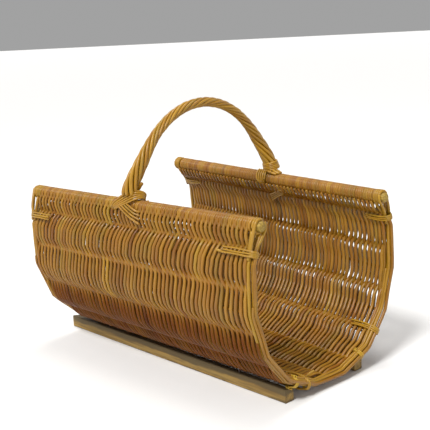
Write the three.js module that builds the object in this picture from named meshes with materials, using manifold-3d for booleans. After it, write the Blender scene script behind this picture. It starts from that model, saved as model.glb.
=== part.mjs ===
// An open-ended log carrier of woven willow: a U-shaped trough hung between two wrapped rails, with a roped
// bow handle and two wooden runners. Millimetres, +X along the rails, +Y across, +Z up.
// Every piece is first laid out on a straight trough, then settle() gives it the hand-made taper and lean.
import * as THREE from "three";
import { mergeVertices } from "three/addons/utils/BufferGeometryUtils.js";
import Module from "manifold-3d";

const wasm = await Module();
wasm.setup();

// ---------------------------------------------------------------- driving dimensions
const LENGTH = 550; // nominal length of the rails, over which taper and lean are spread
const GAP = 0.3; // clearance that touching pieces keep
const ROPE_GAP = 0.75; // the same between the bow and the rods roped round it, which are coarser
const FLOOR_HEIGHT = 14.5; // middle of the woven floor above the ground
// Half of the U, from the middle of the floor to the rail, as arcs of a length and a turn in degrees.
const SECTION = [
  { length: 40, turn: 7 },
  { length: 143, turn: 55.5 },
  { length: 142, turn: 38.5 },
  { length: 56, turn: 26 },
];
const HALF_GIRTH = SECTION.reduce((sum, arc) => sum + arc.length, 0);
const WIDTH_SCALE = { left: 1.093, right: 0.907 }; // the trough is a little wider at its left end
const LEAN = { left: 1.1, right: -0.85 }; // degrees that each end is turned about the X axis
const DRAWN_IN = { front: 7, back: 2, from: 200 }; // how far the right rail ends stand back, above a height

const WALL = 13; // thickness of the weave, across the rods of both faces
const RIB = { radius: 3.5, spacing: 72, first: 34, perSide: 5 };
const RAIL = { radius: 8, front: [-284, 268], back: [-273.5, 272] };
const WRAP = { radius: 13.3, endInset: 4 };
const BORDER = { radius: 3.4, outer: 263.8, perEnd: 3, belowRail: 3 };
const TIE = { leg: 60, width: 13, thickness: 3, places: [-339, -57, 142, 341] };
const HANDLE = {
  x: -8,
  height: 439,
  power: 1.08, // of the cosine that the bow rises by
  splay: { by: 6, from: 0.8, to: 1.5 }, // how far the legs lean out, over which angles from the top
  seat: 1.2,
  core: 4.5,
  strand: 1.9,
  strands: 5,
  pitch: 54,
  cutBack: 0.035, // radians that the strands end above the foot
};
const COLLAR = { inner: 9.4, outer: 13, height: 13, angle: 78.5 };
const LASHING = { outer: 17.4, width: 17, opening: 84, offset: 19.6 };
const RUNNER = { x: [-294, 250], middle: 90.5, width: 20, outerHeight: 22, innerHeight: 18 };
const RUNNER_TIE = { girth: 88, leg: 15, width: 9 };
const NAIL = { radius: 1.4, head: 3.4, headHeight: 1.6, length: 33, places: [-190, 150], lift: 1 };

// ---------------------------------------------------------------- materials
const willow = new THREE.MeshStandardMaterial({ color: 0xb98a45, roughness: 0.6, metalness: 0 });
const paleWillow = new THREE.MeshStandardMaterial({ color: 0xcfa860, roughness: 0.55, metalness: 0 });
const darkWillow = new THREE.MeshStandardMaterial({ color: 0x8f5c28, roughness: 0.65, metalness: 0 });
const peeledRail = new THREE.MeshStandardMaterial({ color: 0xb3a24c, roughness: 0.6, metalness: 0 });
const weatheredWood = new THREE.MeshStandardMaterial({ color: 0x85764a, roughness: 0.85, metalness: 0 });
const steel = new THREE.MeshStandardMaterial({ color: 0x8d8f92, roughness: 0.4, metalness: 0.9 });

// ---------------------------------------------------------------- the section and the settled shape
const { clamp, degToRad, lerp, smoothstep } = THREE.MathUtils;

// The point of the U at a signed distance from the middle of the floor, moved outwards by offset.
function sectionAt(girth, offset = 0) {
  let heading = 0;
  let y = 0;
  let z = FLOOR_HEIGHT;
  let left = Math.abs(girth);
  for (const { length, turn } of SECTION) {
    const radius = length / degToRad(turn);
    const sweep = Math.min(left, length) / radius;
    y += radius * (Math.sin(heading + sweep) - Math.sin(heading));
    z += radius * (Math.cos(heading) - Math.cos(heading + sweep));
    heading += sweep;
    left -= Math.min(left, length);
  }
  const side = Math.sign(girth) || 1;
  return {
    y: side * (y + offset * Math.sin(heading)),
    z: z - offset * Math.cos(heading),
    heading: side * heading,
  };
}

const railCentre = sectionAt(HALF_GIRTH);

function settle(geometry, lean = true) {
  const position = geometry.attributes.position;
  for (let i = 0; i < position.count; i++) {
    const x = position.getX(i);
    const along = x / LENGTH + 0.5;
    const across = clamp(position.getY(i) / railCentre.y, -1, 1);
    const y = position.getY(i) * lerp(WIDTH_SCALE.left, WIDTH_SCALE.right, along);
    const z = position.getZ(i);
    const height = clamp((z - DRAWN_IN.from) / (railCentre.z - DRAWN_IN.from), 0, 1);
    const drawn = lerp(DRAWN_IN.front, DRAWN_IN.back, (across + 1) / 2) * height ** 2;
    const turn = lean ? degToRad(lerp(LEAN.left, LEAN.right, along)) : 0;
    position.setXYZ(
      i,
      x - (drawn * Math.max(0, x)) / BORDER.outer,
      y * Math.cos(turn) - z * Math.sin(turn),
      y * Math.sin(turn) + z * Math.cos(turn),
    );
  }
  geometry.computeVertexNormals();
  return geometry;
}

// ---------------------------------------------------------------- shape helpers
function circle(radius, sides) {
  const points = [];
  for (let i = 0; i < sides; i++) {
    const a = (2 * Math.PI * (i + 0.5)) / sides;
    points.push(new THREE.Vector2(radius * Math.cos(a), radius * Math.sin(a)));
  }
  return new THREE.Shape(points);
}

// Extrudes a shape drawn in the Y-Z plane along X.
function alongX(shape, from, to) {
  const geometry = new THREE.ExtrudeGeometry(shape, { depth: to - from, bevelEnabled: false });
  const turn = new THREE.Matrix4().makeBasis(
    new THREE.Vector3(0, 1, 0),
    new THREE.Vector3(0, 0, 1),
    new THREE.Vector3(1, 0, 0),
  );
  return geometry.applyMatrix4(turn).translate(from, 0, 0);
}

function rodAlongX(radius, y, z, from, to, sides = 16) {
  return alongX(circle(radius, sides), from, to).translate(0, y, z);
}

// A rod of round section along any curve.
class Route extends THREE.Curve {
  constructor(pointAt) {
    super();
    this.pointAt = pointAt;
  }
  getPoint(t, target = new THREE.Vector3()) {
    return target.copy(this.pointAt(t));
  }
}

function rodAlong(pointAt, radius, steps, sides = 8) {
  return new THREE.ExtrudeGeometry(circle(radius, sides), {
    steps,
    bevelEnabled: false,
    extrudePath: new Route(pointAt),
  });
}

// ---------------------------------------------------------------- booleans
function solid(geometry) {
  const bare = geometry.clone();
  bare.deleteAttribute("normal");
  bare.deleteAttribute("uv");
  const merged = mergeVertices(bare, 1e-3);
  return new wasm.Manifold(
    new wasm.Mesh({
      numProp: 3,
      vertProperties: merged.attributes.position.array,
      triVerts: new Uint32Array(merged.index.array),
    }),
  );
}

function cut(geometry, ...tools) {
  let result = solid(geometry);
  for (const tool of tools) result = result.subtract(solid(tool));
  const mesh = result.getMesh();
  return new THREE.BufferGeometry()
    .setAttribute("position", new THREE.BufferAttribute(mesh.vertProperties, 3))
    .setIndex(new THREE.BufferAttribute(mesh.triVerts, 1));
}

// ---------------------------------------------------------------- assembly
const trough = new THREE.Group();

function add(name, geometry, material) {
  const mesh = new THREE.Mesh(geometry, material);
  mesh.name = name;
  trough.add(mesh);
}

const SIDES = [
  { name: "front", sign: -1 },
  { name: "back", sign: 1 },
];
const ENDS = [
  { name: "left", sign: -1 },
  { name: "right", sign: 1 },
];
const borderInner = BORDER.outer - BORDER.perEnd * (2 * BORDER.radius + GAP) + BORDER.radius;

// Rails: one straight pole a side, closely wrapped by the weave's rods.
function rails() {
  for (const side of SIDES) {
    const [from, to] = RAIL[side.name];
    const y = side.sign * railCentre.y;
    add(
      side.name + "_rail",
      settle(rodAlongX(RAIL.radius, y, railCentre.z, from, to, 20)),
      peeledRail,
    );
    const ring = circle(WRAP.radius, 20);
    ring.holes.push(circle(RAIL.radius + GAP, 20));
    const wrap = alongX(ring, from + WRAP.endInset, to - WRAP.endInset).translate(0, y, railCentre.z);
    add(side.name + "_rail_wrap", settle(wrap), willow);
  }
}

const ribGirths = [];
for (let i = 0; i < RIB.perSide; i++) {
  const girth = RIB.first + i * RIB.spacing;
  ribGirths.push(girth);
  ribGirths.unshift(-girth);
}

function ribName(i) {
  return "rib_" + String(i + 1).padStart(2, "0");
}

// Ribs: straight stakes along the trough, which the rods pass over and under.
function ribs() {
  ribGirths.forEach((girth, i) => {
    const { y, z } = sectionAt(girth);
    const reach = borderInner - GAP;
    add(ribName(i), settle(rodAlongX(RIB.radius, y, z, -reach, reach, 10)), darkWillow);
  });
}

// Woven bands: the stretch of weave between one rib or rail and the next.
function bandShape(from, to) {
  const steps = 5;
  const outer = [];
  const inner = [];
  for (let i = 0; i <= steps; i++) {
    const girth = lerp(from, to, i / steps);
    const out = sectionAt(girth, WALL / 2);
    const into = sectionAt(girth, -WALL / 2);
    outer.push(new THREE.Vector2(out.y, out.z));
    inner.unshift(new THREE.Vector2(into.y, into.z));
  }
  return new THREE.Shape([...outer, ...inner]);
}

function bands(nailHoles) {
  const railEdge = HALF_GIRTH - WRAP.radius - GAP;
  const edges = [-railEdge, ...ribGirths, railEdge];
  for (let i = 0; i + 1 < edges.length; i++) {
    const from = edges[i] + (i === 0 ? 0 : RIB.radius + GAP);
    const to = edges[i + 1] - (i + 2 === edges.length ? 0 : RIB.radius + GAP);
    const reach = borderInner - GAP;
    let band = settle(alongX(bandShape(from, to), -reach, reach));
    const { y } = sectionAt((from + to) / 2);
    const holes = nailHoles.filter((hole) => Math.abs(hole.y - y) < RIB.spacing / 2 + RIB.radius);
    if (holes.length) band = cut(band, ...holes.map((hole) => hole.tool));
    add("weave_band_" + String(i + 1).padStart(2, "0"), band, willow);
  }
}

// Border rods: three close rods round each open end.
function borders() {
  const reach = HALF_GIRTH - WRAP.radius - BORDER.belowRail;
  for (const end of ENDS) {
    for (let i = 0; i < BORDER.perEnd; i++) {
      const x = BORDER.outer - i * (2 * BORDER.radius + GAP);
      const route = (t) => {
        const girth = lerp(-reach, reach, t);
        const { y, z } = sectionAt(girth);
        return new THREE.Vector3(end.sign * x, y, z);
      };
      add(`${end.name}_border_rod_${i + 1}`, settle(rodAlong(route, BORDER.radius, 44)), paleWillow);
    }
  }
}

// A tie is a flat staple of skeined willow round the border, with a leg on each face of the weave.
function tieShape(leg, sign) {
  const face = WALL / 2 + 2 * GAP;
  const edge = BORDER.outer + BORDER.radius + GAP;
  const outline = [
    [edge - leg, face],
    [edge, face],
    [edge, -face],
    [edge - leg, -face],
    [edge - leg, -face - TIE.thickness],
    [edge + TIE.thickness, -face - TIE.thickness],
    [edge + TIE.thickness, face + TIE.thickness],
    [edge - leg, face + TIE.thickness],
  ];
  return new THREE.Shape(outline.map(([x, n]) => new THREE.Vector2(sign * x, n)));
}

function tie(name, end, girth, leg, width) {
  const { y, z, heading } = sectionAt(girth);
  const geometry = new THREE.ExtrudeGeometry(tieShape(leg, end.sign), { depth: width, bevelEnabled: false });
  geometry.translate(0, 0, -width / 2);
  const outward = new THREE.Vector3(0, Math.sin(heading), -Math.cos(heading));
  const lengthwise = new THREE.Vector3(1, 0, 0);
  const across = new THREE.Vector3().crossVectors(lengthwise, outward);
  geometry.applyMatrix4(new THREE.Matrix4().makeBasis(lengthwise, outward, across));
  geometry.translate(0, y, z);
  add(name, settle(geometry), paleWillow);
}

function ties() {
  for (const end of ENDS) {
    TIE.places.forEach((girth, i) => {
      tie(`${end.name}_border_tie_${i + 1}`, end, girth, TIE.leg, TIE.width);
    });
  }
  for (const side of SIDES) {
    const girth = side.sign * RUNNER_TIE.girth;
    tie(side.name + "_runner_tie", ENDS[1], girth, RUNNER_TIE.leg, RUNNER_TIE.width);
  }
}

// Handle: a bow seated on both rails, with rods roped round it.
function bowAt(angle) {
  const { by, from, to } = HANDLE.splay;
  const rise = Math.abs(Math.cos(angle)) ** HANDLE.power;
  const splay = by * Math.sign(angle) * smoothstep(Math.abs(angle), from, to);
  return new THREE.Vector3(
    HANDLE.x,
    railCentre.y * Math.sin(angle) + splay,
    railCentre.z + (HANDLE.height - railCentre.z) * rise,
  );
}

function bowTangent(angle) {
  const step = 1e-3;
  return bowAt(angle + step).sub(bowAt(angle - step)).normalize();
}

function handle() {
  const seat = (WRAP.radius + GAP + HANDLE.seat) / (HANDLE.height - railCentre.z);
  const foot = Math.acos(seat ** (1 / HANDLE.power));
  add("handle_bow", settle(rodAlong((t) => bowAt(lerp(-foot, foot, t)), HANDLE.core, 40, 10)), darkWillow);
  const orbit = HANDLE.core + HANDLE.strand + ROPE_GAP;
  const end = foot - HANDLE.cutBack;
  const turns = (2 * end * railCentre.y) / HANDLE.pitch;
  for (let i = 0; i < HANDLE.strands; i++) {
    const route = (t) => {
      const angle = lerp(-end, end, t);
      const turn = 2 * Math.PI * (turns * t + i / HANDLE.strands);
      const side = new THREE.Vector3(1, 0, 0);
      const up = new THREE.Vector3().crossVectors(side, bowTangent(angle));
      return bowAt(angle)
        .addScaledVector(side, orbit * Math.cos(turn))
        .addScaledVector(up, orbit * Math.sin(turn));
    };
    add(`handle_strand_${i + 1}`, settle(rodAlong(route, HANDLE.strand, 96, 5)), paleWillow);
  }
}

// A collar binds each foot of the handle, and two lashings hold it to the rail.
function collars() {
  for (const side of SIDES) {
    const half = COLLAR.height / 2;
    const ring = [
      new THREE.Vector2(COLLAR.inner, -half),
      new THREE.Vector2(COLLAR.outer, -half),
      new THREE.Vector2(COLLAR.outer, half),
      new THREE.Vector2(COLLAR.inner, half),
      new THREE.Vector2(COLLAR.inner, -half),
    ];
    const angle = side.sign * degToRad(COLLAR.angle);
    const geometry = new THREE.LatheGeometry(ring, 20);
    const turn = new THREE.Quaternion().setFromUnitVectors(new THREE.Vector3(0, 1, 0), bowTangent(angle));
    geometry.applyQuaternion(turn);
    const middle = bowAt(angle);
    geometry.translate(middle.x, middle.y, middle.z);
    add(side.name + "_handle_collar", settle(geometry), paleWillow);
  }
}

// The strap round the wrapped rail, open where the weave hangs from it.
function strapShape(sign) {
  const half = degToRad(LASHING.opening / 2);
  const from = railCentre.heading + Math.PI + half;
  const to = railCentre.heading + 3 * Math.PI - half;
  const steps = 18;
  const outer = [];
  const inner = [];
  for (let i = 0; i <= steps; i++) {
    const angle = lerp(from, to, i / steps);
    const at = (radius) => new THREE.Vector2(sign * radius * Math.cos(angle), radius * Math.sin(angle));
    outer.push(at(LASHING.outer));
    inner.unshift(at(WRAP.radius + 2 * GAP));
  }
  return new THREE.Shape([...outer, ...inner]);
}

function lashings() {
  for (const side of SIDES) {
    for (const end of ENDS) {
      const x = HANDLE.x + end.sign * LASHING.offset;
      const half = LASHING.width / 2;
      const strap = alongX(strapShape(side.sign), x - half, x + half);
      strap.translate(0, side.sign * railCentre.y, railCentre.z);
      add(`${side.name}_handle_lashing_${end.name}`, settle(strap), paleWillow);
    }
  }
}

// Runners: two bars under the floor, each nailed up into the weave.
function nailAt(side, x) {
  const width = lerp(WIDTH_SCALE.left, WIDTH_SCALE.right, x / LENGTH + 0.5);
  return { x, y: side.sign * RUNNER.middle * width };
}

function nailProfile(clearance) {
  const shank = NAIL.radius + clearance;
  const head = NAIL.head + clearance;
  const top = NAIL.headHeight + clearance;
  const drop = clearance ? 2 * NAIL.lift : 0;
  return [
    new THREE.Vector2(0, -drop),
    new THREE.Vector2(head, -drop),
    new THREE.Vector2(head, top),
    new THREE.Vector2(shank, top),
    new THREE.Vector2(shank, NAIL.length + clearance),
    new THREE.Vector2(0, NAIL.length + clearance),
  ];
}

function nail(clearance, place) {
  const geometry = new THREE.LatheGeometry(nailProfile(clearance), 12);
  geometry.rotateX(Math.PI / 2);
  return geometry.translate(place.x, place.y, NAIL.lift);
}

function runners() {
  const holes = [];
  for (const side of SIDES) {
    const inner = side.sign * (RUNNER.middle - RUNNER.width / 2);
    const outer = side.sign * (RUNNER.middle + RUNNER.width / 2);
    const section = new THREE.Shape([
      new THREE.Vector2(inner, 0),
      new THREE.Vector2(outer, 0),
      new THREE.Vector2(outer, RUNNER.outerHeight),
      new THREE.Vector2(inner, RUNNER.innerHeight),
    ]);
    const tools = NAIL.places.map((x) => {
      const place = nailAt(side, x);
      const tool = nail(GAP, place);
      holes.push({ y: place.y, tool });
      return tool;
    });
    const bar = settle(alongX(section, ...RUNNER.x), false);
    add(side.name + "_runner", cut(bar, ...tools), weatheredWood);
    NAIL.places.forEach((x, i) => add(`${side.name}_runner_nail_${i + 1}`, nail(0, nailAt(side, x)), steel));
  }
  return holes;
}

rails();
ribs();
bands(runners());
borders();
ties();
handle();
collars();
lashings();

// The part's origin is under the middle of the whole, on the ground.
const extent = new THREE.Box3().setFromObject(trough);
const middle = extent.getCenter(new THREE.Vector3());
trough.position.set(-middle.x, -middle.y, -extent.min.z);

const logCarrier = new THREE.Group();
logCarrier.add(trough);
export default logCarrier;
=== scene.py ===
import math
import random

import bpy
import numpy as np
from mathutils import Matrix, Vector


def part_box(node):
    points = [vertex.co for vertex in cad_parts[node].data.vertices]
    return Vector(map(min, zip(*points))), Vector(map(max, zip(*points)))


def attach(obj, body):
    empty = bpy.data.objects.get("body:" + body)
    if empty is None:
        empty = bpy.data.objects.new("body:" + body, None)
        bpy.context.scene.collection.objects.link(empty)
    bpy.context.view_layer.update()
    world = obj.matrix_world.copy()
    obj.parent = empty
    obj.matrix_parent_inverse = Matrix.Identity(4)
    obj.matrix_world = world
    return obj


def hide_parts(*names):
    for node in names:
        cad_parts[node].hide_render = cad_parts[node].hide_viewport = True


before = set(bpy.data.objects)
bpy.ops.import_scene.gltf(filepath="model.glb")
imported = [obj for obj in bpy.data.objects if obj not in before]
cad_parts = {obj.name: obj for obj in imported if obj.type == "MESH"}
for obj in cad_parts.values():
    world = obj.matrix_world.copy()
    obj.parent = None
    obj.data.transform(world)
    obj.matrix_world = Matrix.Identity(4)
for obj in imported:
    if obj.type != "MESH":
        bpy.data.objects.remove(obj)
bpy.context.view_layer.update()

dice = random.Random(11)

# ------------------------------------------------------------------ driving dimensions, millimetres
# They repeat the part's own, laid out on a straight trough: +X along the rails, +Y to the back, +Z up.
MM = 0.001
LENGTH = 550.0
FLOOR_HEIGHT = 14.5
# Half of the U, from the middle of its floor up: arcs, each with its length and its turn in degrees.
SECTION = ((40, 7), (143, 55.5), (142, 38.5), (56, 26))
HALF_GIRTH = 381.0
WIDTH_SCALE = (1.093, 0.907)  # left end, right end
LEAN = (1.1, -0.85)  # degrees that the trough tips to the front, at the left end and the right end
# How far the right end is drawn in at the top of each side, and the height where this starts.
DRAWN_IN = {"front": 7, "back": 2, "from": 200}

RIB_GIRTHS = (-322, -250, -178, -106, -34, 34, 106, 178, 250, 322)
RIB_SPACING = RIB_GIRTHS[1] - RIB_GIRTHS[0]
RIB_RADIUS = 2.8
ROD_RADIUS = 2.6
ROD_SPREAD = 0.68  # how much wider a rod lies where it is pressed on a rib
ROD_FLATNESS = 0.84  # a rod's thickness over its width
ROD_COUNT = 112
ROD_PITCH = 4.57
RAIL_RADIUS = 8.0
WRAP_ORBIT = RAIL_RADIUS + ROD_RADIUS * ROD_FLATNESS + 0.1
RAIL_ENDS = {"front": (-284, 268), "back": (-273.5, 272)}
BORDER_OUTER = 263.8  # where the right end is drawn in by the full amount
BORDER_LINE = 266.5  # middle of the outermost border rod
BORDER_WIDTH = 13  # from there to where the ribs end, under the innermost border rod
HANDLE_X = -8.0
HANDLE_HEIGHT = 439.0
HANDLE_POWER = 1.08
HANDLE_SPLAY = 6.0
HANDLE_LEAN = 11.0  # how far each leg drifts along its rail, towards the side its strands spread to
RUNNER_X = (-294, 256)
RUNNER_MIDDLE = 90.5
RUNNER_WIDTH = 20.0
RUNNER_OUTER_HEIGHT = 22.0
RUNNER_INNER_HEIGHT = 18.0
RUNNER_BEVEL = 1.3

SIDES = {"front": -1, "back": 1}
ENDS = {"left": -1, "right": 1}
ALONG = np.array([1.0, 0.0, 0.0])
UPRIGHT = np.array([0.0, 0.31, 0.95])  # near upright, and square to the rails


def lerp(a, b, t):
    return a + (b - a) * t


def smooth(t):
    t = np.clip(t, 0, 1)
    return t * t * (3 - 2 * t)


# ------------------------------------------------------------------ camera
CAMERA_AZIMUTH = math.radians(48.3)
CAMERA_ELEVATION = math.radians(11.69)
CAMERA_ROLL = math.radians(-2.78)
CAMERA_DISTANCE = 1.5638
CAMERA_AIM = Vector((-0.0140, 0.0234, 0.2675))  # on the straight trough
CAMERA_LENS = 74.12
CAMERA_SENSOR = 36
CAMERA_SHIFT = (0.0028, -0.0400)


def make_camera():
    a, e, r = CAMERA_AZIMUTH, CAMERA_ELEVATION, CAMERA_ROLL
    back = Vector((math.sin(a) * math.cos(e), -math.cos(a) * math.cos(e), math.sin(e)))
    level = Vector((math.cos(a), math.sin(a), 0))
    upright = back.cross(level)
    right = math.cos(r) * level + math.sin(r) * upright
    up = -math.sin(r) * level + math.cos(r) * upright
    data = bpy.data.cameras.new("camera")
    data.lens, data.sensor_width = CAMERA_LENS, CAMERA_SENSOR
    data.shift_x, data.shift_y = CAMERA_SHIFT
    data.clip_end = 20
    camera = bpy.data.objects.new("camera", data)
    place = Matrix((right, up, back)).transposed().to_4x4()
    place.translation = CAMERA_AIM + Vector(SHIFT) * MM + back * CAMERA_DISTANCE
    camera.matrix_world = place
    bpy.context.scene.collection.objects.link(camera)
    bpy.context.scene.camera = camera


# ------------------------------------------------------------------ the section and the settled shape
def section(girth, offset=0.0):
    """Y, Z and heading on the U, at signed distances from the middle of its floor, moved out by offset."""
    girth = np.asarray(girth, float)
    left = np.abs(girth)
    heading, y, z = np.zeros_like(left), np.zeros_like(left), np.full_like(left, FLOOR_HEIGHT)
    for length, turn in SECTION:
        radius = length / math.radians(turn)
        sweep = np.minimum(left, length) / radius
        y = y + radius * (np.sin(heading + sweep) - np.sin(heading))
        z = z + radius * (np.cos(heading) - np.cos(heading + sweep))
        heading = heading + sweep
        left = left - np.minimum(left, length)
    side = np.where(girth < 0, -1.0, 1.0)
    return side * (y + offset * np.sin(heading)), z - offset * np.cos(heading), side * heading


def section_curvature(girth):
    left = np.abs(np.asarray(girth, float))
    ends = np.cumsum([length for length, _ in SECTION])
    bends = np.array([math.radians(turn) / length for length, turn in SECTION])
    return bends[np.clip(np.searchsorted(ends, left), 0, len(bends) - 1)]


RAIL_Y, RAIL_Z, RAIL_HEADING = (float(v) for v in section(HALF_GIRTH))


def on_wall(girth, x, offset=0.0):
    y, z, _ = section(girth, offset)
    return np.stack([np.broadcast_to(np.asarray(x, float), y.shape), y, z], -1)


def round_rail(side, angle, x, radius):
    """Points round a rail: angle 0 faces out of the weave, 90 degrees is on top, 180 faces the trough."""
    sign = SIDES[side]
    angle = np.asarray(angle, float)
    out = np.array([math.sin(RAIL_HEADING), -math.cos(RAIL_HEADING)])
    onward = np.array([math.cos(RAIL_HEADING), math.sin(RAIL_HEADING)])
    turn = np.cos(angle)[..., None] * out + np.sin(angle)[..., None] * onward
    at = np.array([RAIL_Y, RAIL_Z]) + turn * np.asarray(radius, float)[..., None]
    y, z = at[..., 0], at[..., 1]
    return np.stack([np.broadcast_to(np.asarray(x, float), y.shape), sign * y, z], -1)


def wall_line(*stops):
    """Points on the wall, from stops of (girth, x, offset)."""
    return [on_wall(np.array([float(girth)]), x, offset)[0] for girth, x, offset in stops]


def rail_line(side, *stops):
    """Points round a rail, from stops of (x, degrees round the rail, distance from its axis)."""
    return [round_rail(side, np.radians([angle]), x, np.array([size]))[0] for x, angle, size in stops]


def settle(points, lean=True):
    """The hand-made taper and lean of the trough and the move to the part's origin, in metres."""
    x, y, z = np.asarray(points, float).T
    along = x / LENGTH + 0.5
    across = np.clip(y / RAIL_Y, -1, 1)
    y = y * lerp(*WIDTH_SCALE, along)
    height = np.clip((z - DRAWN_IN["from"]) / (RAIL_Z - DRAWN_IN["from"]), 0, 1)
    drawn = lerp(DRAWN_IN["front"], DRAWN_IN["back"], (across + 1) / 2) * height**2
    turn = np.radians(lerp(*LEAN, along)) * lean
    x = x - drawn * np.maximum(0, x) / BORDER_OUTER
    y, z = y * np.cos(turn) - z * np.sin(turn), y * np.sin(turn) + z * np.cos(turn)
    return (np.stack([x, y, z], -1) + SHIFT) * MM


def find_shift():
    front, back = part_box("front_runner"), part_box("back_runner")
    return np.array([front[0].x / MM - RUNNER_X[0], (front[0].y + back[1].y) / 2 / MM, 0.0])


SHIFT = find_shift()
make_camera()


# ------------------------------------------------------------------ rods
def unit(v):
    return v / np.maximum(np.linalg.norm(v, axis=-1, keepdims=True), 1e-12)


def smooth_path(points, step):
    """A smooth curve through given points, resampled at an even step."""
    points = np.asarray(points, float)
    ends = np.vstack([2 * points[0] - points[1], points, 2 * points[-1] - points[-2]])
    t = np.linspace(0, 1, 16, endpoint=False)[:, None]
    fine = []
    for a, b, c, d in zip(ends, ends[1:], ends[2:], ends[3:]):
        square, cube = 2 * a - 5 * b + 4 * c - d, 3 * b - a - 3 * c + d
        fine.append(0.5 * (2 * b + (c - a) * t + square * t**2 + cube * t**3))
    fine = np.vstack(fine + [points[-1:]])
    fine[1:-1] = (fine[:-2] + 2 * fine[1:-1] + fine[2:]) / 4
    run = np.concatenate([[0], np.cumsum(np.linalg.norm(np.diff(fine, axis=0), axis=1))])
    count = max(4, int(run[-1] / step) + 1)
    at = np.linspace(0, run[-1], count)
    return np.stack([np.interp(at, run, fine[:, i]) for i in range(3)], -1)


END_REACH = 0.3  # how far a cut end's rounding stands out, as a share of the radius
END_SIZE = 0.72  # the rounded end's own radius, as a share of the rod's


class Rods:
    """Round or flattened rods, gathered into one mesh with the attributes that the materials read."""

    def __init__(self):
        self.points, self.faces, self.grain, self.rod = [], [], [], []
        self.count = 0

    def add(self, path, radius, reference, sides=8, flat=1.0, tone=None, painted_shade=0.0):
        """Sweep a rod along a path.

        reference is a direction that the rod never runs in, and flat squashes the rod square to it.
        tone picks the rod's place in its material's tones, or chance does.
        The last argument is how much painted shade darkens the rod's outer face, along its length.
        """
        centre = settle(path)
        n = len(centre)
        radius = np.broadcast_to(np.asarray(radius, float), (n,)) * MM
        along = unit(np.gradient(centre, axis=0))
        run = np.concatenate([[0], np.cumsum(np.linalg.norm(np.diff(centre, axis=0), axis=1))])
        # One more ring beyond each cut end rounds it off.
        start = centre[0] - along[0] * radius[0] * END_REACH
        stop = centre[-1] + along[-1] * radius[-1] * END_REACH
        centre = np.vstack([start, centre, stop])
        along = np.vstack([along[:1], along, along[-1:]])
        radius = np.concatenate([radius[:1] * END_SIZE, radius, radius[-1:] * END_SIZE])
        run = np.concatenate([run[:1], run, run[-1:]])
        across = unit(np.cross(np.broadcast_to(reference, along.shape), along))
        lift = np.cross(along, across)
        turn = np.arange(sides) * 2 * math.pi / sides
        ring = across[:, None] * (np.cos(turn) * flat)[None, :, None]
        ring = (ring + lift[:, None] * np.sin(turn)[None, :, None]) * radius[:, None, None]
        seed = np.array([dice.random() for _ in range(3)])
        if tone is not None:
            seed[0] = tone
        around = np.stack(
            [
                np.broadcast_to(run[:, None] + seed[1] * 7, (n + 2, sides)),
                np.cos(turn)[None] * radius[:, None] + seed[2] * 3,
                np.sin(turn)[None] * radius[:, None] + seed[0] * 5,
            ],
            -1,
        )
        self.points.append((centre[:, None] + ring).reshape(-1, 3))
        self.grain.append(around.reshape(-1, 3))
        # Painted shade, strongest on the rod's outer face.
        painted_face_shade = np.broadcast_to(np.asarray(painted_shade, float), (n,))
        painted_face_shade = np.concatenate([painted_face_shade[:1], painted_face_shade, painted_face_shade[-1:]])[:, None] * (0.5 - 0.5 * np.cos(turn))[None]
        marks = np.stack([np.full_like(painted_face_shade, seed[0]), np.full_like(painted_face_shade, seed[1]), painted_face_shade], -1)
        self.rod.append(marks.reshape(-1, 3))
        first = self.count + np.arange(n + 1)[:, None] * sides
        j = np.arange(sides)[None]
        k = (j + 1) % sides
        quads = np.stack([first + j, first + k, first + k + sides, first + j + sides], -1).reshape(-1, 4)
        self.faces += quads.tolist()
        self.faces.append(list(range(self.count + sides - 1, self.count - 1, -1)))
        last = self.count + (n + 1) * sides
        self.faces.append(list(range(last, last + sides)))
        self.count += (n + 2) * sides

    def piece(self, name, material, slot, *nodes):
        mesh = bpy.data.meshes.new(name)
        mesh.from_pydata(np.vstack(self.points), [], self.faces)
        for key, rows in (("grain", self.grain), ("rod", self.rod)):
            values = mesh.attributes.new(key, "FLOAT_VECTOR", "POINT")
            values.data.foreach_set("vector", np.vstack(rows).astype(np.float32).ravel())
        return finish_piece(name, mesh, material, slot, *nodes)


def finish_piece(name, mesh, material, slot, *nodes):
    mesh.materials.append(material)
    mesh.polygons.foreach_set("use_smooth", [True] * len(mesh.polygons))
    mesh.update()
    piece = bpy.data.objects.new(name, mesh)
    bpy.context.scene.collection.objects.link(piece)
    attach(piece, "root")
    if nodes:
        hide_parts(*nodes)
    return piece


WANDER_SHARES = (1.0, 0.6, 0.35)


def wander(positions, size, wavelength):
    """A slow random sway along a rod, the sum of three waves."""
    sway = np.zeros_like(positions)
    for share in WANDER_SHARES:
        length = wavelength * share * dice.uniform(0.8, 1.3)
        sway += share * np.sin(2 * math.pi * (positions / length + dice.random()))
    return sway * size / sum(WANDER_SHARES)


# ------------------------------------------------------------------ materials
def linear(*levels):
    """A colour in linear light, from its red, green and blue levels of 0 to 255."""
    return (*(v / 255 / 12.92 if v <= 10 else ((v / 255 + 0.055) / 1.055) ** 2.4 for v in levels), 1)


def grey(value):
    return (value, value, value, 1)


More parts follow.
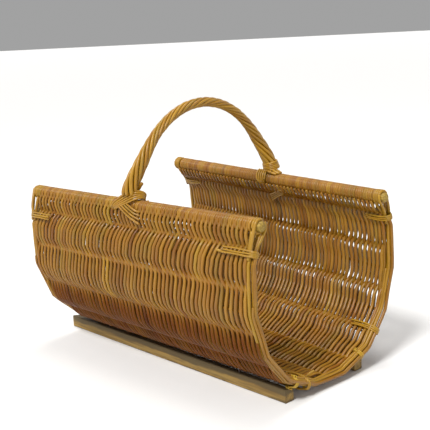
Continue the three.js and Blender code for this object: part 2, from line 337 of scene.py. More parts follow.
class Shader:
    """A material's node tree. Inputs go by socket name or number, as values or other nodes' sockets."""

    def __init__(self, name):
        self.material = bpy.data.materials.new(name)
        self.material.use_nodes = True
        self.tree = self.material.node_tree
        self.surface = self.tree.nodes["Principled BSDF"]

    def set(self, node, inputs):
        for key, value in inputs.items():
            socket = node.inputs[key]
            if isinstance(value, bpy.types.NodeSocket):
                self.tree.links.new(value, socket)
            else:
                socket.default_value = value
        return node

    def add(self, kind, inputs=(), out=0, **settings):
        node = self.tree.nodes.new("ShaderNode" + kind)
        for key, value in settings.items():
            setattr(node, key, value)
        self.set(node, dict(inputs))
        return node.outputs[out]

    def ramp(self, factor, *stops):
        socket = self.add("ValToRGB", {"Fac": factor})
        elements = socket.node.color_ramp.elements
        while len(elements) < len(stops):
            elements.new(0.5)
        for element, (place, colour) in zip(elements, stops):
            element.position, element.color = place, colour
        return socket

    def mix(self, factor, a, b, blend="MIX"):
        node = self.tree.nodes.new("ShaderNodeMix")
        node.data_type, node.blend_type = "RGBA", blend
        self.set(node, {0: factor, 6: a, 7: b})
        return node.outputs[2]

    def math(self, operation, a, b=0.0, c=0.0):
        node = self.tree.nodes.new("ShaderNodeMath")
        node.operation = operation
        self.set(node, {0: a, 1: b, 2: c})
        return node.outputs[0]

    def noise(self, vector, scale, detail=3.0, roughness=0.55):
        inputs = {"Vector": vector, "Scale": scale, "Detail": detail, "Roughness": roughness}
        return self.add("TexNoise", inputs)

    def stretched(self, vector, scale):
        return self.add("Mapping", {"Vector": vector, "Scale": scale})

    def bump(self, height, strength, distance, normal=None):
        inputs = {"Height": height, "Strength": strength, "Distance": distance}
        if normal:
            inputs["Normal"] = normal
        return self.add("Bump", inputs)


def willow_material(name, tones, green=0.35, stain=0.38, coat=0.16, painted_shade=0.9):
    """Buff willow: a tone for each rod, streaks along it, green and brown stretches, and knots.

    The last argument is how far a painted shade darkens the rods' outer faces where the wall faces down.
    They lose their coat as well.
    """
    s = Shader(name)
    grain = s.add("Attribute", out=1, attribute_name="grain")
    rod = s.add("Attribute", out=1, attribute_name="rod")
    parts = s.add("SeparateXYZ", {0: rod}).node.outputs
    base = s.ramp(parts[0], *[(i / (len(tones) - 1), linear(*tone)) for i, tone in enumerate(tones)])
    slow = s.noise(s.stretched(grain, (14, 40, 40)), 1.0, 2.0)
    patch = s.ramp(slow, (0.35, grey(0)), (0.7, grey(1)))
    colour = s.mix(s.math("MULTIPLY", patch, 0.4), base, linear(172, 130, 40))
    greenish = s.noise(s.stretched(grain, (9, 30, 30)), 1.3, 2.0)
    greenish = s.math("ADD", greenish, s.math("MULTIPLY", parts[1], 0.22))
    green_mask = s.ramp(greenish, (0.62, grey(0)), (0.8, grey(1)))
    colour = s.mix(s.math("MULTIPLY", green_mask, green), colour, linear(122, 106, 28))
    brown = s.noise(s.stretched(grain, (22, 90, 90)), 1.0, 4.0, 0.65)
    brown_mask = s.ramp(brown, (0.56, grey(0)), (0.72, grey(1)))
    colour = s.mix(s.math("MULTIPLY", brown_mask, stain), colour, linear(84, 38, 5))
    streak = s.noise(s.stretched(grain, (60, 1500, 1500)), 1.0, 4.0, 0.6)
    shade = s.ramp(streak, (0.3, grey(0.70)), (0.52, grey(1.0)), (0.75, grey(1.14)))
    colour = s.mix(1.0, colour, shade, "MULTIPLY")
    # Painted shade: darker, browner outer faces on the lower wall, where it faces down.
    painted_shade_factor = s.math("MULTIPLY", parts[2], painted_shade)
    colour = s.mix(painted_shade_factor, colour, s.mix(1.0, colour, linear(172, 118, 50), "MULTIPLY"))
    knots = s.add("TexVoronoi", {"Vector": s.stretched(grain, (26, 130, 130)), "Scale": 1.0}, feature="F1")
    knot = s.ramp(knots, (0.05, grey(1)), (0.11, grey(0)))
    colour = s.mix(s.math("MULTIPLY", knot, 0.75), colour, linear(72, 41, 12))
    rough = s.math("MULTIPLY_ADD", streak, 0.2, 0.3)
    fine = s.bump(streak, 0.35, 0.0004)
    lumps = s.noise(s.stretched(grain, (90, 260, 260)), 1.0, 2.0)
    normal = s.bump(lumps, 0.3, 0.0012, fine)
    gloss = s.math("MULTIPLY_ADD", parts[2], -0.26, 0.36)
    coat_weight = s.math("MULTIPLY_ADD", parts[2], -coat, coat)
    s.set(s.surface, {"Base Color": colour, "Roughness": rough, "Normal": normal})
    s.set(s.surface, {"Specular IOR Level": gloss, "Coat Weight": coat_weight, "Coat Roughness": 0.3})
    return s.material


def wood_material():
    """A sawn runner: olive-yellow, darker along its upper edge and its foot, with fine cracks."""
    s = Shader("weathered_runner_wood")
    place = s.add("TexCoord", out=3)
    xyz = s.add("SeparateXYZ", {0: place}).node.outputs
    grain = s.noise(s.stretched(place, (9, 160, 260)), 1.0, 6.0, 0.65)
    ring = s.noise(s.stretched(place, (3.5, 50, 95)), 1.0, 3.0, 0.5)
    tones = (0.3, linear(116, 88, 38)), (0.55, linear(148, 118, 58)), (0.75, linear(132, 110, 60))
    base = s.ramp(ring, *tones)
    streaks = s.ramp(grain, (0.32, grey(0.45)), (0.5, grey(0.95)), (0.7, grey(1.1)))
    colour = s.mix(1.0, base, streaks, "MULTIPLY")
    ragged = s.noise(s.stretched(place, (24, 60, 60)), 1.0, 4.0)
    # Darker along the top edge and along the foot.
    edge = s.math("ADD", xyz[2], s.math("MULTIPLY_ADD", ragged, 0.012, -0.006))
    dark_top_band = s.ramp(s.math("MULTIPLY", edge, 45.0), (0.5, grey(0)), (0.66, grey(1)))
    colour = s.mix(s.math("MULTIPLY", dark_top_band, 0.82), colour, linear(74, 62, 38))
    foot = s.ramp(s.math("MULTIPLY", edge, 45.0), (0.03, grey(1)), (0.14, grey(0)))
    colour = s.mix(s.math("MULTIPLY", foot, 0.7), colour, linear(62, 50, 30))
    cracks = s.noise(s.stretched(place, (5, 420, 520)), 1.0, 5.0, 0.7)
    crack = s.ramp(cracks, (0.30, grey(1)), (0.38, grey(0)))
    colour = s.mix(s.math("MULTIPLY", crack, 0.8), colour, linear(40, 30, 18))
    rough = s.math("MULTIPLY_ADD", grain, 0.25, 0.62)
    normal = s.bump(crack, -0.6, 0.0008, s.bump(grain, 0.6, 0.0012))
    s.set(s.surface, {"Base Color": colour, "Roughness": rough, "Normal": normal})
    return s.material


def pole_material():
    """Peeled rail poles: olive-yellow, streaked along the grain and speckled."""
    s = Shader("peeled_rail_pole")
    place = s.add("TexCoord", out=3)
    grain = s.noise(s.stretched(place, (12, 320, 320)), 1.0, 5.0, 0.6)
    tones = (0.3, linear(112, 86, 26)), (0.5, linear(156, 126, 44)), (0.72, linear(182, 154, 74))
    base = s.ramp(grain, *tones)
    spots = s.noise(place, 420.0, 4.0, 0.7)
    speckle = s.ramp(spots, (0.34, grey(0.6)), (0.5, grey(1)), (0.7, grey(1.12)))
    colour = s.mix(1.0, base, speckle, "MULTIPLY")
    normal = s.bump(spots, 0.4, 0.0006)
    rough = s.math("MULTIPLY_ADD", spots, 0.2, 0.55)
    s.set(s.surface, {"Base Color": colour, "Roughness": rough, "Normal": normal})
    return s.material


def steel_material():
    """Nails of dull steel, rusty in patches."""
    s = Shader("rusty_nail_steel")
    place = s.add("TexCoord", out=3)
    rust = s.noise(place, 900.0, 5.0, 0.7)
    mask = s.ramp(rust, (0.42, grey(0)), (0.6, grey(1)))
    colour = s.mix(mask, linear(140, 140, 142), linear(110, 62, 34))
    rough = s.math("MULTIPLY_ADD", mask, 0.4, 0.32)
    metal = s.math("MULTIPLY_ADD", mask, -0.8, 0.95)
    normal = s.bump(rust, 0.3, 0.0004)
    s.set(s.surface, {"Base Color": colour, "Roughness": rough, "Metallic": metal, "Normal": normal})
    return s.material


GOLDEN = ((106, 57, 4), (122, 72, 4), (136, 85, 7), (143, 93, 10), (152, 104, 16), (164, 121, 24))
STRAW = ((131, 84, 7), (149, 104, 13), (159, 117, 19), (169, 128, 25))
PALE = ((171, 125, 26), (181, 141, 34), (190, 154, 43), (174, 132, 29))
HONEY = ((142, 94, 5), (159, 111, 10), (171, 126, 18), (153, 104, 8))
BROWN = ((77, 36, 3), (94, 49, 4), (106, 57, 6))
willow = willow_material("buff_willow", GOLDEN)
border_willow = willow_material("border_willow", STRAW, green=0.25, stain=0.4)
pale_willow = willow_material("pale_willow", PALE, green=0.25, stain=0.3)
handle_willow = willow_material("handle_willow", HONEY, green=0.3, stain=0.35, coat=0.3)
rib_willow = willow_material("rib_willow", BROWN, green=0.1)


# ------------------------------------------------------------------ the weave
WRAP_STEPS = 12  # rings in a full turn round a rail
SLANT = 3.6  # how far a rod strays to each side as it leans, most near the rails
STEADY = 0.25  # share of the way from one rib to the next before a rod starts to cross
# The lower wall, where it faces down, gets a painted shade on the rods' outer faces.
FACES_DOWN = (226, 196)  # girth where the wall turns from upright to underside
CHORD_SHARE = 0.85  # how much of the wall's curve a rod cuts off between two ribs
RAIL_STRETCH = 36.0  # girth below a rail in which a rod settles into its turns
BORDER_STRETCH = 70.0  # distance from the border in which the rods' lean dies out
ROD_GROUPS = 6  # pieces that the weave is split into


def contact_offsets(odd, swing):
    """How far out of the wall a rod lies at the front rail, at each rib and at the back rail."""
    sizes = [WRAP_ORBIT] + [swing] * len(RIB_GIRTHS) + [WRAP_ORBIT]
    return np.array([size * (-1) ** (i + odd) for i, size in enumerate(sizes)])


def chord_sag(girth):
    """A rod is too stiff to follow the wall's curve from one rib to the next, so it cuts inside it."""
    share = (np.asarray(girth) - RIB_GIRTHS[0]) / RIB_SPACING % 1.0
    return CHORD_SHARE * section_curvature(girth) * RIB_SPACING**2 / 2 * share * (1 - share)


def weave_offset(girth, odd, swing):
    """How far out of the wall a rod lies, as it passes in front of one rib and behind the next."""
    stops = np.array([-HALF_GIRTH, *RIB_GIRTHS, HALF_GIRTH])
    offsets = contact_offsets(odd, swing)
    i = np.clip(np.searchsorted(stops, girth, side="right") - 1, 0, len(stops) - 2)
    span = stops[i + 1] - stops[i]
    share = (girth - stops[i]) / span
    run = np.clip((share - STEADY) / (1 - 2 * STEADY), 0, 1)
    blend = 0.4 * run + 0.6 * smooth(run)
    return lerp(offsets[i], offsets[i + 1], blend) - chord_sag(girth)


def slant(girth):
    """Every rod leans to one side where it passes a rib and comes back between two ribs."""
    phase = 2 * math.pi * (np.asarray(girth) - RIB_GIRTHS[0]) / RIB_SPACING
    size = SLANT * (0.35 + 0.65 * smooth(np.abs(girth) / 300))
    return -size * (np.sin(phase) - 0.22 * np.sin(2 * phase))


def wrap_turns(side, x, reverse):
    """A rod's turn and a half round a rail, from outside, over the top twice, down into the trough."""
    steps = int(1.5 * WRAP_STEPS)
    angle = np.linspace(0, 3 * math.pi, steps + 1)
    drift = x + ROD_PITCH * (angle - math.pi / 2) / (2 * math.pi)
    path = round_rail(side, angle, drift, np.full(steps + 1, WRAP_ORBIT))
    return path[::-1] if reverse else path


def crowding(x, girth):
    """Where the rods are beaten up closer or looser, shared by neighbours so that none cross."""
    close = 1.5 * np.sin(2 * math.pi * (x / 170 + girth / 420 + 0.2))
    return close + 0.9 * np.sin(2 * math.pi * (x / 83 - girth / 310 + 0.6))


def weaving_rod(k):
    """One pass of the weave, from rail to rail, with its turns round the rail that it comes up outside."""
    odd = k % 2
    x = (k - (ROD_COUNT - 1) / 2) * ROD_PITCH + dice.gauss(0, 0.25)
    girth = np.linspace(-HALF_GIRTH, HALF_GIRTH, 157)
    swing = RIB_RADIUS + ROD_RADIUS * ROD_FLATNESS + dice.gauss(0.05, 0.2)
    near_rail = np.clip((np.abs(girth) - (HALF_GIRTH - RAIL_STRETCH)) / RAIL_STRETCH, 0, 1)
    inwards = min(1.0, (BORDER_LINE - abs(x)) / BORDER_STRETCH)
    drift = np.where((girth < 0) == (odd == 0), -1, 1) * ROD_PITCH / 4 * smooth(near_rail)
    sway = (wander(girth, 0.45, 260) + crowding(x, girth) + slant(girth) * inwards) * (1 - near_rail)
    offset = weave_offset(girth, odd, swing)
    path = on_wall(girth, x + drift + sway, offset + wander(girth, 0.25, 150) * (1 - near_rail))
    if odd:
        path = np.vstack([path[:-1], wrap_turns("back", x, False)])
    else:
        path = np.vstack([wrap_turns("front", x, True), path[1:]])
    start, end = ROD_RADIUS + dice.gauss(0, 0.12), ROD_RADIUS + dice.gauss(0, 0.12)
    radius = np.linspace(start, end, len(path)) + wander(np.arange(len(path), dtype=float), 0.06, 60)
    pressed = ROD_SPREAD * smooth(np.abs(offset) / swing) * (1 - near_rail)
    extra = np.zeros(len(path) - len(girth))
    radius += np.concatenate([pressed, extra] if odd else [extra, pressed])
    # Painted shade: the rods' outer faces darken where the wall faces down.
    middle = smooth((FACES_DOWN[0] - np.abs(girth)) / (FACES_DOWN[0] - FACES_DOWN[1]))
    painted_shade = np.concatenate([middle, extra] if odd else [extra, middle])
    return path, radius, painted_shade


def build_weave():
    nodes = [f"weave_band_{i + 1:02d}" for i in range(len(RIB_GIRTHS) + 1)]
    per_group = math.ceil(ROD_COUNT / ROD_GROUPS)
    for group in range(ROD_GROUPS):
        rods = Rods()
        for k in range(group * per_group, min(ROD_COUNT, (group + 1) * per_group)):
            path, radius, painted_shade = weaving_rod(k)
            rods.add(path, radius, ALONG, flat=ROD_FLATNESS, painted_shade=painted_shade, tone=0.5 + dice.gauss(0, 0.2))
        replaced = nodes if group == 0 else []  # all the groups stand in for the bands, named once
        rods.piece(f"weaving_rods_{group + 1}", willow, "willow_weave", *replaced)


def build_ribs():
    rods = Rods()
    reach = BORDER_LINE - BORDER_WIDTH
    for girth in RIB_GIRTHS:
        x = np.linspace(-reach, reach, 60)
        sway = wander(x, 0.5, 300)
        path = on_wall(girth + sway, x, wander(x, 0.3, 240))
        rods.add(path, RIB_RADIUS + wander(x, 0.15, 200), UPRIGHT, sides=10)
    rods.piece("ribs", rib_willow, "rib_stake", *[f"rib_{i + 1:02d}" for i in range(len(RIB_GIRTHS))])


# ------------------------------------------------------------------ rails
def build_rails():
    pole = pole_material()
    for side in SIDES:
        start, end = RAIL_ENDS[side]
        x = np.linspace(start, end, 90)
        path = round_rail(side, np.zeros(90), x, np.zeros(90))
        rods = Rods()
        rods.add(path, RAIL_RADIUS + wander(x, 0.12, 120) - 0.2, UPRIGHT, sides=24)
        rods.piece(f"{side}_rail_pole", pole, "rail_pole", f"{side}_rail")
        build_rail_ends(side)


def rail_tip(side, end, inwards):
    """X of a place on a rail, a little inwards of its cut end."""
    start, stop = RAIL_ENDS[side]
    return start + inwards if end == "left" else stop - inwards


def rail_end_coil(side, end):
    """The end rod: up the outside from the border, round the rail to the weave, and down the inside."""
    sign = ENDS[end]
    tip = rail_tip(side, end, 5.0)
    last = sign * (ROD_COUNT / 2 * ROD_PITCH + 0.6)
    turns = max(1, round(abs(tip - last) / (2 * ROD_RADIUS))) + 0.5
    angle = np.linspace(0, turns * 2 * math.pi, int(turns * WRAP_STEPS) + 1)
    coil = round_rail(side, angle, np.linspace(tip, last, len(angle)), np.full(len(angle), WRAP_ORBIT))
    g = SIDES[side]
    knot = sign * (BORDER_LINE - 6)
    rise = wall_line((g * 338, knot, 4.0), (g * 352, lerp(knot, tip, 0.45), 7.0))
    rise = smooth_path([*rise, coil[0]], 4)[:-1]
    drop = wall_line((g * 366, last, -9.5), (g * 350, last, -4.0), (g * 336, last, -1))
    drop = smooth_path([coil[-1], *drop], 4)[1:]
    return np.vstack([rise, coil, drop])


def rail_end_strut(side, end):
    """The second leg of the V at a rail's end, from the inner face of the rail down to the border tie."""
    sign, g = ENDS[end], SIDES[side]
    tip = rail_tip(side, end, 4.0)
    top = round_rail(side, np.radians([120, 160, 185]), tip + np.zeros(3), np.full(3, WRAP_ORBIT + 1.5))
    foot = wall_line((g * 358, lerp(sign * 262, tip, 0.6), -8), (g * 338, sign * 259, -3))
    return smooth_path([*top, *foot], 4)


def rail_end_fill(side, end, i):
    """Short rods that close the corner between the last turn, the rail and the border."""
    sign, g = ENDS[end], SIDES[side]
    out = 4.6 * (-1) ** i
    low = sign * (257.5 + 3.2 * i)
    top = lerp(low, rail_tip(side, end, 5.0), 0.2 + 0.25 * i)
    stops = wall_line((g * 330, low, out), (g * 345, lerp(low, top, 0.4), out), (g * 369, top, out * 1.6))
    return smooth_path(stops, 4)


def build_rail_ends(side):
    rods = Rods()
    for end in ENDS:
        rods.add(rail_end_coil(side, end), ROD_RADIUS, ALONG, tone=0.6)
        for i in range(4 if end == "left" else 2):
            rods.add(rail_end_fill(side, end, i), ROD_RADIUS, ALONG, tone=dice.random())
        if end == "right":
            rods.add(rail_end_strut(side, end), ROD_RADIUS - 0.3, ALONG, tone=0.9)
    rods.piece(f"{side}_rail_end_turns", border_willow, "willow_weave", f"{side}_rail_wrap")


# ------------------------------------------------------------------ border, ties
BORDER_RODS = (  # distance in from the border's outer line, offset out of the wall, radius
    (0.0, 1.5, 2.9),
    (4.9, -1.0, 2.9),
    (9.4, 1.8, 2.8),
    (13.4, -0.7, 2.8),
)
BORDER_FILLERS = (  # thinner rods round the floor: from girth, to girth, distance in, offset
    (-262, 148, 2.6, 3.6),
    (-150, 250, 7.6, -4.4),
    (-210, 60, 9.5, 3.8),
)
BORDER_REACH = HALF_GIRTH - 40
BORDER_SAG = 1.1  # the border rods cut the wall's curve a little more than the weaving rods do


def build_borders():
    for end, sign in ENDS.items():
        rods = Rods()
        girth = np.linspace(-BORDER_REACH, BORDER_REACH, 140)
        for i, (inset, offset, radius) in enumerate(BORDER_RODS):
            weave = 2.0 * np.sin(girth / 95 + i * 2.1 + dice.random())
            x = sign * (BORDER_LINE - inset + wander(girth, 0.5, 180))
            out = offset - BORDER_SAG * chord_sag(girth) + weave * (i != 1) + wander(girth, 0.5, 120)
            rods.add(on_wall(girth, x, out), radius + wander(girth, 0.15, 160), ALONG)
        for low, high, inset, offset in BORDER_FILLERS:
            girth_here = np.linspace(low, high, 84)
            x = sign * (BORDER_LINE - inset + wander(girth_here, 0.8, 150))
            out = offset - BORDER_SAG * chord_sag(girth_here) + wander(girth_here, 0.7, 110)
            rods.add(on_wall(girth_here, x, out), np.linspace(2.4, 1.9, 84), ALONG)
        nodes = [f"{end}_border_rod_{i + 1}" for i in range(3)]
        rods.piece(f"{end}_border_rods", border_willow, "border_willow", *nodes)


TIE_PLACES = (-339, -57, 142, 341)
TIE_LEG = 58.0


def girthwise(girth):
    """The direction in which girth grows, at one place on the wall."""
    _, _, heading = section(girth)
    return np.array([0.0, math.cos(float(heading)), math.sin(float(heading))])


def tie_rods(rods, sign, girth, leg, strands, spacing, radius):
    """Strands laid over both faces of the weave and round the border."""
    edge = BORDER_LINE + radius
    face = RIB_RADIUS + 3 * ROD_RADIUS * ROD_FLATNESS + radius
    for i in range(strands):
        g = girth + (i - (strands - 1) / 2) * spacing
        bend = dice.uniform(0.1, 0.8) * (1 if i % 2 else -1)
        out_leg, in_leg = leg + dice.uniform(-3, 4), leg * 0.86 + dice.uniform(-6, 3)
        route = [
            (edge - out_leg, g, face - 2.4),
            (edge - out_leg * 0.9, g, face),
            (edge - out_leg * 0.5, g + bend, face + 0.2),
            (edge - 14, g, face * 0.9),
            (edge - 2.5, g, face * 0.55),
            (edge + 1.0, g, 0.0),
            (edge - 2.5, g, -face * 0.55),
            (edge - 14, g, -face * 0.9),
            (edge - in_leg * 0.6, g - bend, -face),
            (edge - in_leg, g, -face + 2.6),
        ]
        path = smooth_path(wall_line(*[(place, sign * x, out) for x, place, out in route]), 3.0)
        thickness = radius * dice.uniform(0.92, 1.06)
        rods.add(path, thickness, girthwise(girth), tone=dice.uniform(0.5, 1))


def edge_knot(rods, sign, girth, turns, radius):
    """Binding turns that run the other way, over the border between the strands."""
    angle = np.linspace(0, turns * 2 * math.pi, int(turns * 14))
    x = sign * (BORDER_LINE - 3.3 + 6.0 * np.cos(angle))
    offset = 7.8 * np.sin(angle)
    g = girth + np.linspace(-1, 1, len(angle)) * turns * radius * 0.9
    rods.add(on_wall(g, x, offset), radius, girthwise(girth), tone=0.85)


def build_ties():
    for end, sign in ENDS.items():
        for i, girth in enumerate(TIE_PLACES):
            rods = Rods()
            strands = 2 if abs(girth) < 100 else 3  # fewer under the floor
            tie_rods(rods, sign, girth, TIE_LEG, strands, 3.6, 1.5)
            edge_knot(rods, sign, girth, 2.6, 1.1)
            name = f"{end}_border_tie_{i + 1}"
            rods.piece(name + "_strands", border_willow, "binding_willow", name)
    for side, sign in SIDES.items():
        rods = Rods()
        tie_rods(rods, 1, sign * 88, 14, 3, 2.5, 1.15)
        rods.piece(f"{side}_runner_tie_strands", pale_willow, "binding_willow", f"{side}_runner_tie")


# ------------------------------------------------------------------ handle
HANDLE_FOOT = math.radians(84.5)
HANDLE_STRANDS = 8


def bow(angle):
    """The handle's middle line at angles from its top, negative to the front and positive to the back."""
    angle = np.asarray(angle, float)
    rise = np.abs(np.cos(angle)) ** HANDLE_POWER
    splay = HANDLE_SPLAY * smooth((np.abs(angle) - 0.8) / 0.7) * np.sign(angle)
    lean = HANDLE_LEAN * smooth((np.abs(angle) - 1.0) / 0.45) * np.sign(angle)
    y, z = RAIL_Y * np.sin(angle) + splay, RAIL_Z + (HANDLE_HEIGHT - RAIL_Z) * rise
    return np.stack([HANDLE_X + lean, y, z], -1)


def strand_tail(side, lengthwise, crosswise):
    """A strand's end below the leg, spread over the rail: left at the front foot, right at the back."""
    sign = SIDES[side]
    foot = HANDLE_X + sign * HANDLE_LEAN
    reach = foot + sign * (9 + 7 * (1 + sign * lengthwise))
    angle = 58 + 30 * crosswise
    return rail_line(
        side,
        (lerp(foot + 9 * lengthwise, reach, 0.4), lerp(54, angle, 0.8), 17.2),
        (reach, angle, 15.0),
        (reach + sign * 5, angle - 3, 13.2),
    )


def strand_path(i):
    """One strand of the rope, with its two tails, and its radius along them."""
    cut = 4  # points taken off at each foot, where the tail takes over
    angle = np.linspace(-HANDLE_FOOT, HANDLE_FOOT, 190)
    middle = bow(angle)
    run = np.concatenate([[0], np.cumsum(np.linalg.norm(np.diff(middle, axis=0), axis=1))])
    from_top = np.abs(run - run[-1] / 2) / (run[-1] / 2)
    flare = smooth((from_top - 0.4) / 0.6)
    orbit = 6.0 + 4.2 * flare
    # The lay opens out towards the feet: the rope turns more slowly there.
    turn_rate = 2 * math.pi / lerp(135.0, 190.0, flare)
    turn = np.concatenate([[0], np.cumsum(turn_rate[1:] * np.diff(run))]) + 2 * math.pi * i / HANDLE_STRANDS
    along = unit(np.gradient(middle, axis=0))
    up = np.cross(ALONG, along)
    path = middle + ALONG * (orbit * np.cos(turn))[:, None] + up * (orbit * np.sin(turn))[:, None]
    thickness = 2.45 + 0.9 * flare
    front_tail = strand_tail("front", math.cos(turn[0]), math.sin(turn[0]))
    back_tail = strand_tail("back", math.cos(turn[-1]), math.sin(turn[-1]))
    path, thickness = path[cut:-cut], thickness[cut:-cut]
    front_tail = smooth_path([*front_tail[::-1], path[0]], 4)[:-1]
    back_tail = smooth_path([path[-1], *back_tail], 4)[1:]
    front_size, back_size = (np.full(len(tail), 2.3) for tail in (front_tail, back_tail))
    return np.vstack([front_tail, path, back_tail]), np.concatenate([front_size, thickness, back_size])


def build_handle():
    core = Rods()
    core.add(bow(np.linspace(-HANDLE_FOOT, HANDLE_FOOT, 80)), 4.6, ALONG, sides=10)
    core.piece("handle_core", rib_willow, "handle_core", "handle_bow")
    for i in range(HANDLE_STRANDS):
        strand = Rods()
        path, radius = strand_path(i)
        radius = radius * dice.uniform(0.94, 1.06) + wander(np.arange(float(len(path))), 0.08, 60)
        strand.add(path, radius, ALONG, sides=10)
        nodes = [f"handle_strand_{i + 1}"] if i < 5 else []
        strand.piece(f"handle_rope_strand_{i + 1}", handle_willow, "handle_willow", *nodes)


def band(rods, upper, lower, strands, radius):
    """A flat band of strands, spread evenly between its upper and its lower line."""
    for i in range(strands):
        share = i / (strands - 1)
        points = lerp(np.array(upper), np.array(lower), share)
        thickness = radius * dice.uniform(0.92, 1.08)
        rods.add(smooth_path(points, 3), thickness, np.array([0.3, 0.0, 1.0]), tone=dice.uniform(0.2, 1))


def foot_ring(side, middle_angle, size, tilt, rise):
    """One binding turn round a foot of the handle, rise up the leg, tilted along the rail by tilt."""
    angle = SIDES[side] * math.radians(middle_angle)
    middle = bow(np.array([angle - 1e-3, angle, angle + 1e-3]))
    up_leg = unit(middle[0] - middle[2]) * SIDES[side]
    depth = np.cross(ALONG, up_leg)
    turn = np.linspace(0, 2.04 * math.pi, 34) + dice.uniform(0, 6)
    ring = middle[1] + ALONG * (size * np.cos(turn))[:, None]
    ring = ring + depth * (size * 0.92 * np.sin(turn))[:, None]
    return ring + up_leg * (rise + tilt * np.cos(turn) + 0.5 * np.sin(2 * turn))[:, None]


def build_front_foot():
    """A broad band round the leg and down over the rail, and a lashing on each side of it."""
    rods = Rods()
    upper = rail_line(
        "front", (-22, 124, 20), (-8, 108, 23), (-1, 84, 25), (-5, 60, 26.5), (-15, 42, 25.5),
        (-27, 28, 21.5), (-38, 8, 17.4), (-46, -12, 16), (-50, -38, 15.6), (-50, -64, 13.5),
    )
    lower = rail_line(
        "front", (-20, 136, 15), (-6, 116, 15.6), (3, 86, 15.8), (5, 52, 16.4), (1, 26, 17.4),
        (-5, 9, 17.6), (-14, -5, 16.8), (-26, -24, 16), (-39, -44, 15.6), (-47, -68, 13.5),
    )
    band(rods, upper, lower, 5, 1.7)
    rods.piece("front_handle_binding", handle_willow, "binding_willow", "front_handle_collar")

    rods = Rods()
    upper = rail_line(
        "front", (-30, 12, 14), (-20, -2, 15.2), (-12, -14, 15.6),
        (-2, -30, 15.6), (7, -46, 15), (13, -58, 11),
    )
    lower = wall_line(
        (-384, -44, 14), (-378, -38, 15), (-372, -29, 14), (-366, -16, 12.4), (-359, 2, 11.2), (-353, 20, 7)
    )
    band(rods, upper, lower, 4, 1.8)
    node = "front_handle_lashing_right"
    rods.piece(node + "_strands", handle_willow, "binding_willow", node)

    rods = Rods()
    upper = rail_line("front", (4, 112, 17), (2, 134, 15.4), (4, 160, 15), (10, 186, 14.6), (18, 210, 13))
    lower = rail_line(
        "front", (-22, 112, 17), (-20, 134, 15.4), (-14, 160, 15), (-6, 186, 14.6), (2, 210, 13)
    )
    band(rods, upper, lower, 5, 1.75)
    node = "front_handle_lashing_left"
    rods.piece(node + "_strands", handle_willow, "binding_willow", node)


def build_back_foot():
    """Five turns round the leg, and a lashing on each side of it."""
    rods = Rods()
    for i in range(5):
        ring = foot_ring("back", 79.5, 14.0 + 0.35 * i, 1.6, 5.6 - 2.9 * i)
        rods.add(ring, 1.7, np.array([0.2, 0, 1.0]), tone=dice.random())
    rods.piece("back_handle_binding", handle_willow, "binding_willow", "back_handle_collar")

    rods = Rods()
    upper = rail_line(
        "back", (-18, 74, 17), (-19, 100, 16), (-18, 124, 15.2),
        (-16, 150, 15), (-13, 180, 14), (-10, 204, 12),
    )
    lower = rail_line(
        "back", (0, 70, 17), (2, 96, 16), (3, 122, 15.2), (1, 150, 15), (-2, 180, 14), (-4, 204, 12)
    )
    band(rods, upper, lower, 5, 1.8)
    node = "back_handle_lashing_left"
    rods.piece(node + "_strands", handle_willow, "binding_willow", node)

    rods = Rods()
    upper = wall_line((377, 46, -8), (372, 41, -14.5), (362, 20, -14), (351, 0, -12.6), (346, -8, -7))
    lower = wall_line((364, 42, -7), (358, 36, -13), (350, 20, -12.6), (338, 1, -11.6), (333, -6, -6))
    band(rods, upper, lower, 4, 1.45)
    node = "back_handle_lashing_right"
    rods.piece(node + "_strands", handle_willow, "binding_willow", node)


def build_stubs():
    """Cut ends that stand out of the front foot's binding and of two border ties."""
    stubs = (  # path, radius, tone
        (rail_line("front", (-10, 70, 30), (-4, 66, 36), (0, 64, 39)), 3.0, 0.2),
        (wall_line((-43, 249, -4), (-38, 252, -12), (-30, 256, -17)), 1.5, 0.9),
        (wall_line((-335, 211, 4), (-336, 206, 9), (-337, 201, 10.4)), 1.9, 0.9),
    )
    rods = Rods()
    for path, radius, tone in stubs:
        rods.add(smooth_path(path, 2), radius, np.array([0.0, 0.3, 1.0]), tone=tone)
    rods.piece("cut_rod_ends", border_willow, "willow_weave")


# ------------------------------------------------------------------ runners
def runner_outline():
    """Y and z round the section of the back runner."""
    inner, outer = RUNNER_MIDDLE - RUNNER_WIDTH / 2, RUNNER_MIDDLE + RUNNER_WIDTH / 2
    bevel = RUNNER_BEVEL
    foot = [(inner + bevel, 0), (outer - bevel, 0)]
    outer_face = [(outer, bevel), (outer, RUNNER_OUTER_HEIGHT - bevel)]
    top = [(outer - bevel, RUNNER_OUTER_HEIGHT), (inner + bevel, RUNNER_INNER_HEIGHT)]
    inner_face = [(inner, RUNNER_INNER_HEIGHT - bevel), (inner, bevel)]
    return foot + outer_face + top + inner_face


def build_runners():
    material = wood_material()
    outline, bevel = runner_outline(), RUNNER_BEVEL
    for side, sign in SIDES.items():
        x = np.linspace(*RUNNER_X, 120)
        rings = []
        for y, z in outline:
            # The foot stays flat on the ground, and the faces above it are worn.
            wear = wander(x, 0.3, 130) if z > bevel else wander(x, 0.08, 150)
            out, up = sign * (y + wear * (z > 0)), np.maximum(z + wear * (z > bevel), 0)
            rings.append(np.stack([x, out, up], -1))
        rings = np.stack(rings, 1)
        points = settle(rings.reshape(-1, 3), lean=False)
        n, m = len(x), len(outline)
        faces = []
        for i in range(n - 1):
            for j in range(m):
                k = (j + 1) % m
                quad = [i * m + j, i * m + k, (i + 1) * m + k, (i + 1) * m + j]
                faces.append(quad if sign < 0 else quad[::-1])
        caps = [list(range(m)), [(n - 1) * m + j for j in range(m)]]
        faces += [caps[0][::-1], caps[1]] if sign < 0 else [caps[0], caps[1][::-1]]
        mesh = bpy.data.meshes.new(f"{side}_runner_bar")
        mesh.from_pydata(points, [], faces)
        piece = finish_piece(f"{side}_runner_bar", mesh, material, "runner_wood", f"{side}_runner")
        piece.data.polygons.foreach_set("use_smooth", [False] * len(mesh.polygons))


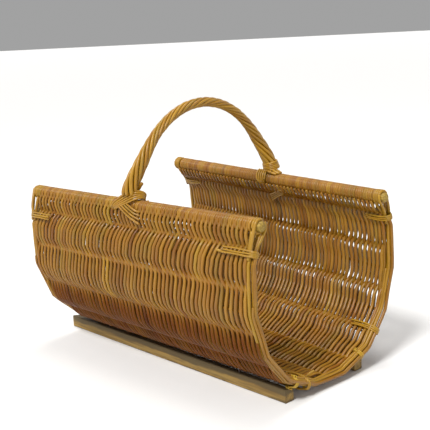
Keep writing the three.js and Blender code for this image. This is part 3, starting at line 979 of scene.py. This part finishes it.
def dress_nails():
    steel = steel_material()
    for name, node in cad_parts.items():
        if "nail" in name:
            node.data.materials.clear()
            node.data.materials.append(steel)


# ------------------------------------------------------------------ floor and light
def add_stage(name, points, faces, inputs):
    mesh = bpy.data.meshes.new(name)
    mesh.from_pydata(points, [], faces)
    piece = bpy.data.objects.new(name, mesh)
    bpy.context.scene.collection.objects.link(piece)
    s = Shader("studio_" + name)
    s.set(s.surface, inputs)
    mesh.materials.append(s.material)


def build_stage():
    """A round pale floor inside a ring of white backdrop, which also lights the sides softly."""
    sides, radius, height = 48, 30.0, 14.0
    turn = [2 * math.pi * i / sides for i in range(sides)]
    rim = [(radius * math.cos(a), radius * math.sin(a), -0.0003) for a in turn]
    add_stage("floor", rim, [list(range(sides))], {"Base Color": linear(236, 235, 233), "Roughness": 0.9})
    wall = rim + [(x, y, height) for x, y, _ in rim]
    faces = [(i, (i + 1) % sides, (i + 1) % sides + sides, i + sides) for i in range(sides)]
    glow = {
        "Base Color": grey(0.0), "Roughness": 1.0,
        "Emission Color": grey(1.0), "Emission Strength": 0.95,
    }
    add_stage("backdrop", wall, faces, glow)


def add_light(name, kind, place, energy, aim=(0, 0, 0.2), **settings):
    data = bpy.data.lights.new(name, kind)
    data.energy = energy
    for setting, value in settings.items():
        setattr(data, setting, value)
    light = bpy.data.objects.new(name, data)
    light.location = place
    light.rotation_euler = (Vector(place) - Vector(aim)).to_track_quat("Z", "Y").to_euler()
    bpy.context.scene.collection.objects.link(light)


def build_light():
    world = bpy.data.worlds.new("studio")
    world.use_nodes = True
    background = world.node_tree.nodes["Background"]
    background.inputs["Color"].default_value = (1, 1, 1, 1)
    background.inputs["Strength"].default_value = 0.36
    bpy.context.scene.world = world
    bpy.context.scene.view_settings.view_transform = "Standard"
    add_light("key", "SUN", (0.35, -1.5, 2.2), 2.9, angle=math.radians(16))
    add_light("top", "AREA", (-0.3, 0.3, 2.4), 22, shape="DISK", size=1.2)


build_weave()
build_ribs()
build_rails()
build_borders()
build_ties()
build_handle()
build_front_foot()
build_back_foot()
build_stubs()
build_runners()
dress_nails()
build_stage()
build_light()
